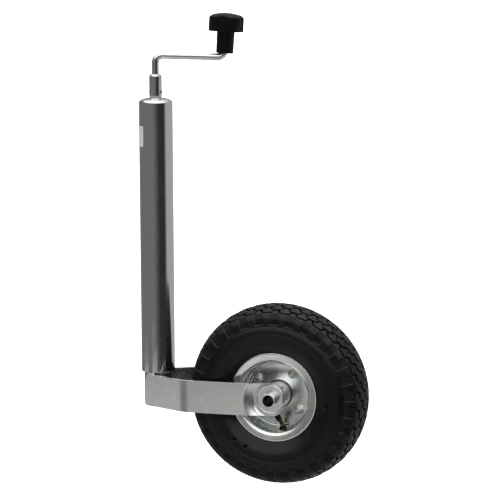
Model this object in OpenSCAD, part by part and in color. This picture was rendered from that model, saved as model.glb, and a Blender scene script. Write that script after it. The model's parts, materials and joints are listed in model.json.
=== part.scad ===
// Trailer jack wheel: a clamped outer tube, a crank-driven screw, a sliding and
// swivelling inner tube with a two-arm fork, and an air-filled wheel.
// Millimetres, +Z up. The origin is on the outer tube's axis, halfway along its
// straight clamping length. The wheel trails towards +X and its axle lies along Y.

/* [Outer tube] */
// outside radius of the clamped tube, a 48 mm tube
tube_r = 24; // [20:0.5:32]
// wall of the clamped tube
tube_wall = 2; // [1:0.25:4]
// half the straight clamping length
tube_half = 192; // [120:1:260]
// height of the rounded end above the straight length
dome_h = 8.6; // [6:0.1:14]
// small radius where the dome leaves the tube
dome_knuckle = 5; // [2:0.5:8]
// hole for the spindle bush in the dome
dome_hole_r = 8; // [7:0.5:10]
// underside of the plate pressed into the upper end
plate_z = 187; // [150:1:190]
// thickness of that plate
plate_t = 4; // [2:0.5:6]
// height of the nylon guide ring at the lower end
guide_len = 24; // [10:1:60]

/* [Crank] */
// radius of the spindle in its bush
spindle_r = 6; // [5:0.5:8]
// radius of the lifting screw
screw_r = 8; // [7:0.5:12]
// length of the lifting screw
screw_len = 240; // [120:1:300]
// outside radius of the sleeve pinned on the spindle
sleeve_r = 9; // [8:0.5:12]
// lower end of the sleeve
sleeve_base = 201; // [200.8:0.1:204]
// upper end of the sleeve
sleeve_top = 232; // [222:0.1:236]
// radius of the bent crank rod
rod_r = 5; // [4:0.5:6]
// direction of the crank arm about +Z, degrees
rod_turn = 18; // [-180:1:180]
// how far the arm runs downhill, degrees
rod_slope = 1.6; // [0:0.1:5]
// how far the handle pin leans outwards, degrees
rod_lean = 3.5; // [0:0.1:8]
// radius of the bend above the sleeve
bend_1_r = 10; // [8:0.5:20]
// height where that bend begins
bend_1_z = 247.8; // [236:0.1:252]
// radius of the bend below the handle
bend_2_r = 10; // [8:0.5:14]
// tube axis to handle pin
grip_reach = 97.8; // [60:0.1:140]
// straight length of the handle pin
grip_len = 38; // [30:1:45]
// direction of the roll pin about +Z, degrees
pin_turn = -12; // [-90:1:90]
// height of the roll pin
pin_z = 207.1; // [205:0.1:212]
// radius of the roll pin
pin_r = 2.5; // [2:0.1:3]

/* [Knob] */
// radius of the stem
knob_stem_r = 12.3; // [9:0.1:14]
// length of the stem below the head
knob_stem_len = 30.2; // [15:0.1:40]
// radius over the lobes of the head
knob_r = 25; // [18:0.5:32]
// height of the head without its dome
knob_edge = 21.5; // [12:0.5:24]
// rise of the head's dome
knob_dome = 4.7; // [3:0.1:9]
// radius of the four flutes
knob_flute_r = 15; // [10:0.5:20]
// how deep the flutes cut into the head
knob_flute_depth = 5.6; // [2:0.1:8]
// direction of one flute about +Z, degrees
knob_turn = 4; // [-45:1:45]
// how far the knob reaches below the start of the pin
grip_drop = 4.3; // [0:0.1:4.4]

/* [Inner tube] */
// outside radius of the sliding tube
inner_r = 20; // [17:0.5:28]
// wall of the sliding tube
inner_wall = 2.5; // [1.5:0.25:4]
// upper end of the sliding tube
inner_top = 165.6; // [100:0.1:168]

/* [Fork] */
// tube axis to axle
axle_x = 182; // [150:1:220]
// height of the axle
axle_z = -214.4; // [-240:0.1:-210]
// thickness of the arm strip
arm_t = 4; // [3:0.5:6]
// height of the arm strip
arm_h = 45.5; // [30:1:60]
// tilt of the arms, rising towards the axle, degrees
arm_tilt = -0.8; // [-3:0.1:3]
// middle plane to the outer face of the straight length
arm_out = 52; // [48:0.5:60]
// where the arm's root begins round the tube, degrees
arm_wrap = 34; // [28:1:60]
// height cut off the upper corner of the root
arm_notch = 10; // [4:0.5:16]
// tube axis to the arm's bend
arm_bend = 55; // [40:0.5:70]
// middle radius of that bend
arm_bend_r = 40; // [8:1:50]
// length of the arm past the axle
arm_end = 17; // [14:0.5:24]
// radius of the corners at the arm's end
arm_corner = 13; // [4:0.5:20]
// depth of the dished seat that carries the axle
seat_depth = 10; // [4:0.5:12]
// depth of the seat's outer slope
seat_step = 5; // [2:0.5:8]
// radius of the flat of the seat
seat_r = 19; // [14:0.5:20]
// radius where the outer slope meets the seat's wall
seat_step_r = 25.5; // [21:0.5:28]
// outer radius of the slope
seat_out_r = 38; // [30:1:44]

/* [Axle] */
// outside radius of the axle tube
axle_r = 10; // [8:0.5:12]
// bore radius of the axle tube
axle_bore_r = 7.8; // [5:0.1:9]
// half the length of the axle tube
axle_half = 55; // [50:0.5:62]
// width of the slot along the axle tube
axle_slot = 1.4; // [0.6:0.1:3]
// direction of the slot about the axle, degrees
axle_slot_turn = -11; // [-180:1:180]

/* [Bearings] */
// width of a bearing
bearing_w = 7; // [5:0.5:12]
// middle plane to a bearing's outer face
bearing_out = 36.5; // [30:0.5:37]
// radius of a ball
ball_r = 1.7; // [1:0.1:2]
// radius of the balls' circle
ball_pitch_r = 13; // [12.5:0.1:13.5]
// balls in a bearing
ball_count = 14; // [8:1:16]

/* [Wheel] */
// outside radius of the hub tube
hub_r = 18.5; // [17:0.5:22]
// bore radius of the hub tube
hub_bore_r = 16; // [15:0.5:17]
// half the length of the hub tube
hub_half = 37.5; // [30:0.5:38]
// half the thickness of the flange between the rims
flange_half = 1.5; // [1:0.25:3]
// radius of that flange
flange_r = 43; // [41:0.5:44]
// radius of the bolt circle
bolt_pitch_r = 36; // [32:0.5:38]
// radius of a bolt
bolt_r = 4; // [3:0.5:5]
// direction of the first bolt about the axle, degrees
bolt_turn = 55.5; // [0:0.5:90]
// hexagon of the bolt heads across the flats
nut_across = 13; // [10:1:14]
// radius of the round flanged nuts
nut_flange_r = 6.6; // [5.5:0.1:7.5]
// outside radius of the tyre
tyre_r = 128.6; // [126:0.2:132]

/* [Valve] */
// direction of the valve about the axle, degrees
valve_turn = -79; // [-180:1:180]
// middle plane to the valve's hole
valve_out = 13.2; // [9:0.5:18]
// height of the stem's elbow above the rim
valve_elbow = 10.5; // [8:0.5:14]
// lean of the stem from radial to the near side, degrees
valve_lean = 48; // [20:1:80]

/* [Hidden] */
// the sub-part to build, or all of them

$fn = 96;

// the dome's crown radius and where the knuckle meets it
dome_crown = (tube_r * tube_r + dome_h * dome_h - 2 * tube_r * dome_knuckle)
             / (2 * (dome_h - dome_knuckle));
dome_join = atan2(dome_crown - dome_h, tube_r - dome_knuckle);

// the rod's path in its own plane: x outwards, y up
run_start = [bend_1_r * (1 + sin(rod_slope)), bend_1_z + bend_1_r * cos(rod_slope)];
run_len = (grip_reach - bend_2_r * (cos(rod_lean) + sin(rod_slope)) - run_start[0])
          / cos(rod_slope);
run_stop = run_start + run_len * [cos(rod_slope), -sin(rod_slope)];
bend_2_mid = run_stop + bend_2_r * [sin(rod_slope), cos(rod_slope)];
grip_start = bend_2_mid + bend_2_r * [cos(rod_lean), -sin(rod_lean)];

// the inner tube ends a little below the lower edge of the arms
inner_bottom = axle_z - arm_h / 2 - 3.2;

// the plan of an arm: middle line beside the tube and at the straight length
arm_mid_in = inner_r + arm_t / 2;
arm_mid_out = arm_out - arm_t / 2;

// the arm leaves the tube along a tangent that reaches the straight length at the bend
arm_turn = acos(arm_mid_in / norm([arm_bend, arm_mid_out])) - atan2(arm_bend, arm_mid_out);

// ---------- helpers ----------

module ring(r_out, r_in, h) {
  difference() {
    cylinder(r = r_out, h = h);
    translate([0, 0, -1]) cylinder(r = r_in, h = h + 2);
  }
}

// children are built along +Z and laid along -Y, measured from the axle's middle
module on_axle(side = 1) {
  translate([axle_x, 0, axle_z])
    mirror([0, side < 0 ? 1 : 0, 0])
      rotate([90, 0, 0]) children();
}

// a half section, first to last point, closed by its mirror image in the middle plane
function both_sides(half) = concat(
  half, [for (i = [len(half) - 1 : -1 : 0]) if (half[i][1] != 0) [half[i][0], -half[i][1]]]);

// a hub ring from u0 to u1 out from the wheel's middle plane, on both sides
module hub_rings(r_out, r_in, u0, u1) {
  for (side = [1, -1])
    on_axle(side) translate([0, 0, u0]) ring(r_out, r_in, u1 - u0);
}

// ---------- outer tube ----------

function dome_arc(shrink) = concat(
  [for (i = [0 : 6])
    let (a = dome_join * i / 6)
    [tube_r - dome_knuckle + (dome_knuckle - shrink) * cos(a),
     (dome_knuckle - shrink) * sin(a)]],
  [for (i = [1 : 7])
    let (a = dome_join + (90 - dome_join) * i / 7)
    [(dome_crown - shrink) * cos(a), dome_h - dome_crown + (dome_crown - shrink) * sin(a)]]);

module dome_shape(shrink) {
  polygon(concat([[0, 0]], dome_arc(shrink)));
}

module outer_tube() {
  color("silver") {
    translate([0, 0, -tube_half]) ring(tube_r, tube_r - tube_wall, 2 * tube_half);
    translate([0, 0, tube_half])
      rotate_extrude()
        difference() {
          dome_shape(0);
          dome_shape(tube_wall);
          square([dome_hole_r, dome_h + 1]);
        }
  }
}

module top_plate() {
  color("gray") translate([0, 0, plate_z]) ring(tube_r - tube_wall, dome_hole_r, plate_t);
}

module top_bush() {
  color("peru") translate([0, 0, plate_z]) ring(dome_hole_r, spindle_r + 0.05, 13.4);
}

module top_washer() {
  color("white") translate([0, 0, tube_half + dome_h]) ring(8.6, spindle_r + 0.2, 0.2);
}

module race_upper() {
  color("gray") translate([0, 0, 185]) ring(13, spindle_r + 0.3, 2);
}

module guide_bush() {
  color("white")
    translate([0, 0, -tube_half + 2]) ring(tube_r - tube_wall, inner_r + 0.05, guide_len);
}

// ---------- crank ----------

module race_lower() {
  color("gray") translate([0, 0, 179]) ring(13, spindle_r, 2);
}

module thrust_balls() {
  color("silver")
    for (i = [0 : 9])
      rotate([0, 0, 36 * i]) translate([9.6, 0, 183]) sphere(r = 1.95);
}

module thrust_cage() {
  color("goldenrod")
    difference() {
      translate([0, 0, 182.4]) ring(12.2, 7, 1.2);
      for (i = [0 : 9])
        rotate([0, 0, 36 * i]) translate([9.6, 0, 180]) cylinder(r = 2.05, h = 6);
    }
}

module spindle() {
  color("silver")
    difference() {
      union() {
        translate([0, 0, 176]) cylinder(r = spindle_r, h = 41);
        translate([0, 0, 175]) cylinder(r = 12, h = 4);
        translate([0, 0, 175 - screw_len]) cylinder(r = screw_r, h = screw_len + 1);
      }
      pin_hole();
    }
}

module pin_hole() {
  rotate([0, 0, pin_turn])
    translate([-15, 0, pin_z]) rotate([0, 90, 0]) cylinder(r = pin_r, h = 30);
}

module crank_sleeve() {
  edge = 3.6;
  color("silver")
    difference() {
      union() {
        translate([0, 0, sleeve_base]) cylinder(r = sleeve_r, h = sleeve_top - sleeve_base - edge);
        translate([0, 0, sleeve_top - edge]) cylinder(r = sleeve_r - edge, h = edge);
        translate([0, 0, sleeve_top - edge])
          rotate_extrude() translate([sleeve_r - edge, 0]) intersection() {
            circle(r = edge);
            square([edge, edge]);
          }
      }
      translate([0, 0, sleeve_base - 1]) cylinder(r = spindle_r, h = 18);
      translate([0, 0, sleeve_base]) cylinder(r = rod_r, h = 60);
      pin_hole();
    }
}

module roll_pin() {
  color("dimgray")
    rotate([0, 0, pin_turn])
      translate([-10, 0, pin_z]) rotate([0, 90, 0])
        difference() {
          ring(pin_r, 1.4, 20);
          translate([-4, -0.4, -1]) cube([4, 0.8, 22]);
        }
}

module in_rod_plane() {
  rotate([0, 0, rod_turn]) rotate([90, 0, 0]) children();
}

module bend(mid, bend_r, from, turn) {
  in_rod_plane() translate([mid[0], mid[1], 0]) rotate([0, 0, from])
    rotate_extrude(angle = turn) translate([bend_r, 0]) circle(r = rod_r);
}

// a straight length from the current point, reaching a little into the bends at its ends
module straight(h) {
  translate([0, 0, -0.3]) cylinder(r = rod_r - 0.02, h = h + 0.6);
}

// children stand on the start of the handle pin, +Z along it
module on_grip() {
  rotate([0, 0, rod_turn])
    translate([grip_start[0], 0, grip_start[1]]) rotate([0, rod_lean, 0]) children();
}

module crank_rod() {
  color("silver") {
    translate([0, 0, 217.5]) straight(bend_1_z - 217.5);
    bend([bend_1_r, bend_1_z], bend_1_r, 90 - rod_slope, 90 + rod_slope);
    rotate([0, 0, rod_turn])
      translate([run_start[0], 0, run_start[1]]) rotate([0, 90 + rod_slope, 0])
        straight(run_len);
    bend(bend_2_mid, bend_2_r, -90 - rod_slope, 90 + rod_slope - rod_lean);
    on_grip() straight(grip_len);
  }
}

module knob_clip() {
  color("dimgray") on_grip() translate([0, 0, grip_len - 4]) ring(7.4, rod_r - 0.02, 1);
}

module knob() {
  head = knob_stem_len;
  flute_mid = knob_r - knob_flute_depth + knob_flute_r;
  dome_r = (knob_r * knob_r + knob_dome * knob_dome) / (2 * knob_dome);
  color("#202024")
    on_grip() rotate([0, 0, knob_turn - rod_turn]) translate([0, 0, -grip_drop])
      difference() {
        union() {
          cylinder(r1 = knob_stem_r - 0.2, r2 = knob_stem_r + 0.2, h = head + 1);
          intersection() {
            translate([0, 0, head]) cylinder(r = knob_r, h = knob_edge + knob_dome);
            translate([0, 0, head + knob_edge + knob_dome - dome_r]) sphere(r = dome_r);
          }
        }
        for (i = [0 : 3])
          rotate([0, 0, 90 * i]) translate([flute_mid, 0, head - 1])
            cylinder(r = knob_flute_r, h = 40);
        translate([0, 0, -1]) cylinder(r = 8.2, h = grip_drop + 1.5);
        cylinder(r = rod_r + 0.05, h = 37);
        translate([0, 0, 35]) cylinder(r = 7.8, h = 10);
      }
}

// ---------- inner tube ----------

module drive_nut() {
  color("peru")
    difference() {
      union() {
        translate([0, 0, inner_top - 14]) cylinder(r = inner_r - inner_wall - 0.05, h = 15);
        translate([0, 0, inner_top + 0.3]) cylinder(r = inner_r - 0.4, h = 6);
      }
      translate([0, 0, inner_top - 15]) cylinder(r = screw_r + 0.05, h = 30);
    }
}

module inner_tube() {
  color("silver")
    translate([0, 0, inner_bottom]) ring(inner_r, inner_r - inner_wall, inner_top - inner_bottom);
}

// ---------- fork ----------

module tilted() {
  translate([axle_x, 0, axle_z]) rotate([0, arm_tilt, 0]) children();
}

module arm_outline() {
  // side view: x along the arm from the axle, y up
  root = -axle_x - inner_r;
  union() {
    translate([root, -arm_h / 2]) square([arm_end - arm_corner - root, arm_h]);
    translate([arm_end - arm_corner - 1, -arm_h / 2 + arm_corner])
      square([arm_corner + 1, arm_h - 2 * arm_corner]);
    for (s = [-1, 1])
      translate([arm_end - arm_corner, s * (arm_h / 2 - arm_corner)]) circle(r = arm_corner);
  }
}

// points of an arc of the plan, by the angle from straight outwards towards +X
function plan_arc(mid, r, from, to, steps) =
  [for (i = [0 : steps]) let (a = from + (to - from) * i / steps) mid + r * [sin(a), cos(a)]];

// one face of the bent strip, by its distance from the middle line towards the outside
function arm_face(out) =
  let (
    reach = arm_bend_r * tan(arm_turn / 2),
    bend_mid = [arm_bend - axle_x + reach, arm_mid_out - arm_bend_r]
  )
  concat(
    plan_arc([-axle_x, 0], arm_mid_in + out, -arm_wrap, -arm_turn, 3),
    plan_arc(bend_mid, arm_bend_r + out, -arm_turn, 0, 8),
    [[arm_end + 5, arm_mid_out + out]]
  );

// plan view: x from the axle, y out from the middle plane
module arm_plan() {
  outside = arm_face(arm_t / 2);
  inside = arm_face(-arm_t / 2);
  polygon(concat(outside, [for (i = [len(inside) - 1 : -1 : 0]) inside[i]]));
}

// the dish's outer face from its middle outwards: radius and distance from the middle plane
function seat_face(shift, down) = [
  [seat_r + shift, arm_out - seat_depth - down],
  [seat_step_r + shift, arm_out - seat_step - down],
  [seat_out_r + shift, arm_out - down]
];

module seat_section() {
  back_shift = 1.5;
  outside = seat_face(0, 0);
  inside = seat_face(back_shift, arm_t);
  polygon(concat(
    [[0, outside[0][1]]], outside, [[seat_out_r + 3, arm_out], [seat_out_r + 3, arm_out - arm_t]],
    [inside[2], inside[1], inside[0], [0, inside[0][1]]]
  ));
}

module arm(side) {
  tilted() mirror([0, side > 0 ? 1 : 0, 0])
    difference() {
      intersection() {
        union() {
          difference() {
            translate([0, 0, -arm_h]) linear_extrude(height = 2 * arm_h) arm_plan();
            rotate([-90, 0, 0]) cylinder(r = seat_out_r + 2, h = 100);
          }
          rotate([-90, 0, 0]) rotate_extrude() seat_section();
        }
        translate([0, 80, 0]) rotate([90, 0, 0]) linear_extrude(height = 80) arm_outline();
      }
      rotate([-90, 0, 0]) cylinder(r = axle_r, h = 100);
      translate([-axle_x - 60, 0, arm_h / 2 - arm_notch])
        cube([60 - (arm_mid_in - 1) * sin(arm_turn), 60, 2 * arm_notch]);
    }
}

module arm_near() {
  color("lightgray") arm(1);
}

module arm_far() {
  color("lightgray") arm(-1);
}

// beads along the arms' edges at their roots
module fork_welds() {
  color("gray")
    difference() {
      tilted()
        for (side = [-1, 1])
          for (edge = [-1, 1])
            translate([-9 - axle_x, side * (inner_r + 1.6), edge * arm_h / 2])
              rotate([0, 90, 0]) cylinder(r = 1.8, h = 10);
      translate([0, 0, axle_z - 60]) cylinder(r = inner_r, h = 120);
      tilted()
        translate([-axle_x - 30, -60, -arm_h / 2]) cube([60, 120, arm_h]);
    }
}

module axle_tube() {
  color("silver")
    difference() {
      on_axle() translate([0, 0, -axle_half]) ring(axle_r, axle_bore_r, 2 * axle_half);
      translate([axle_x, 0, axle_z]) rotate([0, -axle_slot_turn, 0])
        translate([5, -60, -axle_slot / 2]) cube([10, 120, axle_slot]);
    }
}

module arm_spacers() {
  color("gray") hub_rings(13, axle_r, bearing_out, arm_out - seat_depth - arm_t);
}

// ---------- bearings ----------

module bearing_inner() {
  color("silver") hub_rings(ball_pitch_r - 1.75, axle_r, bearing_out - bearing_w, bearing_out);
}

module distance_tube() {
  color("gray")
    on_axle() translate([0, 0, bearing_w - bearing_out])
      ring(12.2, axle_r, 2 * (bearing_out - bearing_w));
}

module bearing_outer() {
  color("silver") hub_rings(hub_bore_r, ball_pitch_r + 1.75, bearing_out - bearing_w, bearing_out);
}

// children are placed at each ball's middle, with +X away from the axle
module ball_places() {
  for (side = [1, -1])
    for (i = [0 : ball_count - 1])
      on_axle(side) rotate([0, 0, 360 / ball_count * i])
        translate([ball_pitch_r, 0, bearing_out - bearing_w / 2]) children();
}

module bearing_balls() {
  color("silver") ball_places() sphere(r = ball_r);
}

module bearing_cages() {
  color("goldenrod")
    difference() {
      hub_rings(13.7, 12.3, bearing_out - 5.6, bearing_out - 1.4);
      ball_places() translate([-3, 0, 0]) rotate([0, 90, 0]) cylinder(r = ball_r + 0.06, h = 6);
    }
}

module bearing_shields() {
  color("silver") {
    hub_rings(ball_pitch_r + 1.75, 11.6, bearing_out - 0.6, bearing_out - 0.1);
    hub_rings(ball_pitch_r + 1.75, 12.6, bearing_out - bearing_w + 0.1, bearing_out - bearing_w + 0.6);
  }
}

// ---------- wheel ----------

module bolt_places() {
  for (i = [0 : 3])
    rotate([0, 0, bolt_turn + 90 * i]) translate([bolt_pitch_r, 0, 0]) children();
}

module hub_tube() {
  color("silver") on_axle() translate([0, 0, -hub_half]) ring(hub_r, hub_bore_r, 2 * hub_half);
}

module hub_flange() {
  color("silver")
    on_axle() difference() {
      translate([0, 0, -flange_half]) ring(flange_r, hub_r, 2 * flange_half);
      translate([0, 0, -5]) bolt_places() cylinder(r = bolt_r, h = 10);
    }
}

// a pressed rim half: x is the radius, y the distance out from the middle plane
module rim_section() {
  polygon([
    [21.2, 1.5], [44.5, 1.5], [47.8, 2.3], [50, 4.6], [50.8, 8], [50.8, 23.5], [51, 25.2],
    [52, 26.8], [54, 27.7], [57.3, 28.4], [61.5, 28.9], [62.9, 28.6], [63.2, 30],
    [62.2, 30.9], [60.5, 31], [57.3, 30.7], [55, 30.3], [52.9, 29.4], [51, 28], [49.7, 26],
    [49, 23.6], [48.8, 20], [48.8, 8], [48, 5.6], [46.4, 4.1], [45.2, 4.4], [44, 4.4],
    [43, 3.5], [21.2, 3.5]
  ]);
}

module rim_half() {
  difference() {
    rotate_extrude() rim_section();
    translate([0, 0, -5]) bolt_places() cylinder(r = bolt_r, h = 20);
  }
}

// children stand on the valve's hole, +Z towards the axle
module on_valve() {
  on_axle() rotate([0, 0, valve_turn]) translate([51.2, 0, valve_out]) rotate([0, -90, 0]) children();
}

module rim_near() {
  color("lightgray")
    difference() {
      on_axle() rim_half();
      on_valve() translate([0, 0, -3]) cylinder(r = 3.4, h = 8);
    }
}

module rim_far() {
  color("lightgray")
    on_axle() mirror([0, 0, 1]) rim_half();
}

module hexagon(across, h) {
  cylinder(r = across / 2 / cos(30), h = h, $fn = 6);
}

module rim_bolts() {
  color("silver")
    on_axle() bolt_places() {
      translate([0, 0, -3.5]) cylinder(r = bolt_r, h = 15);
      translate([0, 0, -8.8]) hexagon(nut_across, 5.3);
    }
}

module rim_nuts() {
  color("silver")
    on_axle() bolt_places()
      difference() {
        union() {
          translate([0, 0, 3.5]) cylinder(r = nut_flange_r, h = 3);
          translate([0, 0, 6.5]) cylinder(r1 = nut_flange_r - 0.6, r2 = bolt_r + 1, h = 3.5);
        }
        translate([0, 0, 3]) cylinder(r = bolt_r, h = 9);
      }
}

module tyre_section() {
  outer = [
    [52.1, 26.7], [54, 27.6], [57.3, 28.3], [61.4, 28.75], [62.95, 28.4], [63.35, 28.7],
    [63.6, 29.6], [66.5, 31.2], [71, 35], [78, 38.6], [86, 40.6], [95, 41], [103, 39.8],
    [109.4, 38], [114.2, 36.6], [tyre_r - 9.4, 32.6], [tyre_r - 6, 26], [tyre_r - 2.9, 17],
    [tyre_r - 0.7, 8], [tyre_r, 0]
  ];
  inner = [
    [52, 17.2], [56.5, 20.5], [64, 24.5], [75, 32.6], [88, 35.6], [100, 35], [110, 30.5],
    [116.5, 20], [119.8, 9], [120.5, 0]
  ];
  difference() {
    polygon(both_sides(concat([[50.9, 0], [50.9, 23.4], [51.15, 25.1]], outer)));
    polygon(both_sides(concat([[50, 0], [50, 16.8], [50.9, 16.8]], inner)));
  }
}

module tyre() {
  color("#1c1c1e") on_axle() rotate_extrude($fn = 128) tyre_section();
}

module air_tube() {
  skin = [
    [51.3, 0], [51.3, 12.5], [56, 18.4], [64, 23.6], [75, 32], [88, 35], [100, 34.4],
    [109.6, 30], [116, 19.6], [119.2, 8.6], [119.8, 0]
  ];
  void = [
    [53.3, 0], [53.3, 11.4], [57.4, 16.8], [66, 22.4], [76, 30], [88, 32.8], [99.4, 32.2],
    [108, 28.4], [114.2, 18.6], [117.2, 8.2], [117.8, 0]
  ];
  color("#2a2a2c")
    difference() {
      on_axle() rotate_extrude()
        difference() {
          polygon(both_sides(skin));
          polygon(both_sides(void));
        }
      on_valve() translate([0, 0, -8]) cylinder(r = 3.2, h = 12);
    }
}

// children stand on the elbow, +Z along the leaning stem
module on_elbow() {
  on_valve() translate([0, 0, valve_elbow]) rotate([0, valve_lean, 0]) children();
}

module valve_stem() {
  color("goldenrod") {
    on_valve() translate([0, 0, -4]) cylinder(r = 3.2, h = valve_elbow + 4);
    on_valve() translate([0, 0, valve_elbow]) sphere(r = 3.6);
    on_elbow() cylinder(r = 3.2, h = 6);
    on_elbow() translate([0, 0, 6]) cylinder(r = 2.6, h = 12);
  }
}

module valve_collar() {
  color("#202020")
    difference() {
      on_valve() translate([0, 0, 2.4]) cylinder(r1 = 5, r2 = 4.6, h = 4.4);
      on_valve() translate([0, 0, -4]) cylinder(r = 3.2, h = 20);
      on_axle() translate([0, 0, -5]) ring(60, 48.8, 40);
    }
}

module valve_cap() {
  color("#151515")
    on_elbow() translate([0, 0, 11])
      difference() {
        cylinder(r = 4.2, h = 9);
        translate([0, 0, -1]) cylinder(r = 2.6, h = 8.01);
      }
}

// ---------- choice ----------

outer_tube();
top_plate();
top_bush();
top_washer();
race_upper();
guide_bush();
race_lower();
thrust_cage();
thrust_balls();
spindle();
crank_sleeve();
roll_pin();
crank_rod();
knob_clip();
knob();
drive_nut();
inner_tube();
arm_near();
arm_far();
fork_welds();
axle_tube();
arm_spacers();
bearing_inner();
distance_tube();
bearing_outer();
bearing_balls();
bearing_cages();
bearing_shields();
hub_tube();
hub_flange();
rim_near();
rim_far();
rim_bolts();
rim_nuts();
tyre();
air_tube();
valve_stem();
valve_collar();
valve_cap();
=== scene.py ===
import json
import math

import bmesh
import bpy
import numpy as np
from mathutils import Matrix, Quaternion, Vector


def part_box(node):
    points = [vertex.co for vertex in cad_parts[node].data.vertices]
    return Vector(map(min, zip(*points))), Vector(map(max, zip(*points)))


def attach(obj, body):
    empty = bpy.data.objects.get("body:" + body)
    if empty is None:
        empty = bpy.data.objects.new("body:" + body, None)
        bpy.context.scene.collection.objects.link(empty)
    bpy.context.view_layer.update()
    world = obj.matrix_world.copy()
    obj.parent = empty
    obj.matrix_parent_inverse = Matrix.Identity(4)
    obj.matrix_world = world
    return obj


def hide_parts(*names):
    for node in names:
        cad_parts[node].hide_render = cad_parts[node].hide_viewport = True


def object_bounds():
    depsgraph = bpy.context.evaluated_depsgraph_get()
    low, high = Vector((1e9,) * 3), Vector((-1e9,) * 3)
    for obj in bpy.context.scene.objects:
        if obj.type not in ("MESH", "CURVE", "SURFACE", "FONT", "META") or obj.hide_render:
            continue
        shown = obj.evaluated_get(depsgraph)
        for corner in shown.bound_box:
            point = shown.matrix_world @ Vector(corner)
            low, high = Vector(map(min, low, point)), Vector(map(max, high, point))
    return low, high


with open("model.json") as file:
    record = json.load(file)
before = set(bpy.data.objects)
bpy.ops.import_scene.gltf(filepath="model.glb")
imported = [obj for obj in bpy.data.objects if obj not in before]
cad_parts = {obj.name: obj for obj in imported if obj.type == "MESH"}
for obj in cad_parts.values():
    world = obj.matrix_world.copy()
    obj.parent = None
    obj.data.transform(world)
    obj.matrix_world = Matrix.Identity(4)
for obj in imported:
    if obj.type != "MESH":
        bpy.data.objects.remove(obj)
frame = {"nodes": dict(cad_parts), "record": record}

# Looks of a trailer jack wheel. Shapes are worked out in millimetres in the object's own frame,
# which is +Z up with its origin on the outer tube's axis, and are turned into metres when made.

MM = 0.001
CAD_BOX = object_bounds()
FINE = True


def box_mm(node):
    """A CAD node's lowest and highest corner, in millimetres."""
    low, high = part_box(node)
    return low / MM, high / MM


# ---------- driving dimensions, from the frame ----------

tube_low, tube_high = box_mm("outer_tube")
axle_low, axle_high = box_mm("axle_tube")
tyre_low, tyre_high = box_mm("tyre")
sleeve_low, sleeve_high = box_mm("crank_sleeve")
inner_low, inner_high = box_mm("inner_tube")
hub_low, hub_high = box_mm("hub_tube")
pin_low, pin_high = box_mm("roll_pin")

TUBE_R = tube_high.x
TUBE_WALL = 2
DOME_H = 8.6
DOME_KNUCKLE = 5
DOME_HOLE_R = 8
TUBE_TOP = tube_high.z - DOME_H
TUBE_BOTTOM = tube_low.z

SLEEVE_R = sleeve_high.x
SLEEVE_BASE = sleeve_low.z
SLEEVE_TOP = sleeve_high.z
PIN_Z = (pin_low.z + pin_high.z) / 2
PIN_TURN = -12
PIN_R = 2.5

ROD_R = 5
ROD_TURN = 18
ROD_SLOPE = 1.6
ROD_LEAN = 3.5
ROD_BASE = 217.5
BEND_1_R = 10
BEND_1_Z = 247.8
BEND_2_R = 10
GRIP_REACH = 97.8
GRIP_LEN = 38
GRIP_DROP = 4.3

STEM_R = 12.3
STEM_LEN = 30.2
KNOB_R = 25
KNOB_EDGE = 21.5
KNOB_DOME = 4.7
FLUTE_R = 15
FLUTE_DEPTH = 5.6
KNOB_TURN = 4

INNER_R = inner_high.x
INNER_WALL = 2.5

AXLE = Vector(((axle_low.x + axle_high.x) / 2, 0, (axle_low.z + axle_high.z) / 2))
AXLE_R = (axle_high.z - axle_low.z) / 2
AXLE_BORE_R = 7.8
AXLE_HALF = axle_high.y
AXLE_SLOT = 1.4
AXLE_SLOT_TURN = -11

ARM_T = 4
ARM_H = 45.5
ARM_TILT = -0.8
ARM_OUT = 52
ARM_WRAP = 34
ARM_NOTCH = 10
ARM_BEND = 55
ARM_BEND_R = 40
ARM_END = 17
ARM_CORNER = 13
SEAT_DEPTH = 10
SEAT_STEP = 5
SEAT_R = 19
SEAT_STEP_R = 25.5
SEAT_OUT_R = 38

HUB_R = (hub_high.z - hub_low.z) / 2
HUB_BORE_R = 16
HUB_HALF = hub_high.y
BOLT_PITCH_R = 36
BOLT_R = 4
BOLT_TURN = 55.5
NUT_ACROSS = 13
NUT_FLANGE_R = 6.6
VALVE_TURN = -79
VALVE_R = 51.2
VALVE_OUT = 13.2
VALVE_ELBOW = 10.5
VALVE_LEAN = 48

TYRE_R = (tyre_high.z - tyre_low.z) / 2
TYRE_HALF = tyre_high.y
TREAD_PITCHES = 30

# ---------- frames of the main pieces ----------

AXLE_FRAME = Matrix.Translation(AXLE) @ Matrix.Rotation(math.radians(90), 4, "X")
FAR_SIDE = Matrix.Scale(-1, 4, (0, 1, 0))
ARM_FRAME = Matrix.Translation(AXLE) @ Matrix.Rotation(math.radians(ARM_TILT), 4, "Y")
VALVE_FRAME = (
    AXLE_FRAME
    @ Matrix.Rotation(math.radians(VALVE_TURN), 4, "Z")
    @ Matrix.Translation((VALVE_R, 0, VALVE_OUT))
    @ Matrix.Rotation(math.radians(-90), 4, "Y")
)


# ---------- mesh helpers ----------

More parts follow.
